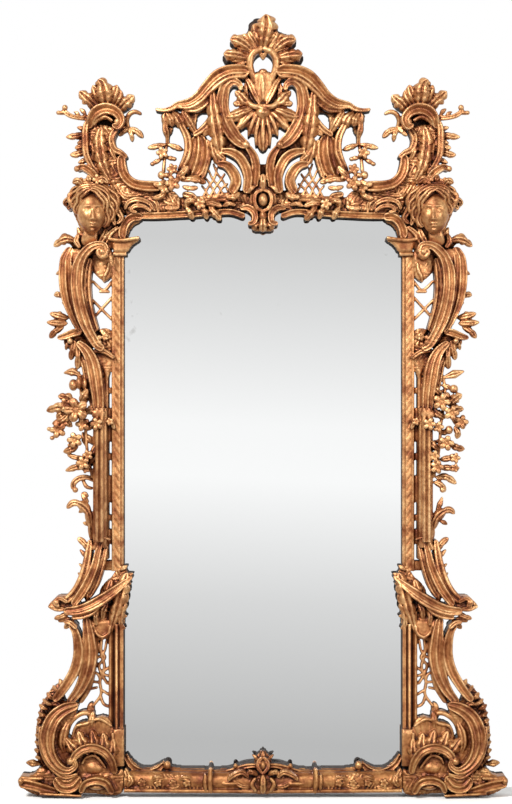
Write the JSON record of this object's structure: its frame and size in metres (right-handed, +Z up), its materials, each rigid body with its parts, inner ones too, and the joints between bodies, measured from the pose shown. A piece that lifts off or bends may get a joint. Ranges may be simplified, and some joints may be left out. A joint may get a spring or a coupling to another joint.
{
  "type": "wall mirror",
  "caption": "Tall rococo pier mirror: carved, pierced giltwood frame with scrolled crest, female mask heads, flower sprays and scrolled feet around an old looking-glass plate.",
  "frame": {"origin": "on the flat back of the crest, on the centre line, at the middle of the top rail's height, where the mirror hangs against the wall", "axes": "+Z is up, +Y points into the wall, the glass faces -Y, and +X is to the right for someone who looks at the glass"},
  "size_m": [1.4806, 0.1467, 2.3437],
  "materials": {
    "silvered_glass": "old silvered looking-glass plate, a little foxed at its edge",
    "pine_board": "unfinished old pine, darkened",
    "giltwood": "carved wood, worn gilding over red-brown bole"
  },
  "bodies": {
    "root": {"mirror_plate": "silvered_glass", "backboard": "pine_board", "crest": "giltwood", "left_upright": "giltwood", "right_upright": "giltwood", "base_rail": "giltwood"}
  },
  "joints": []
}
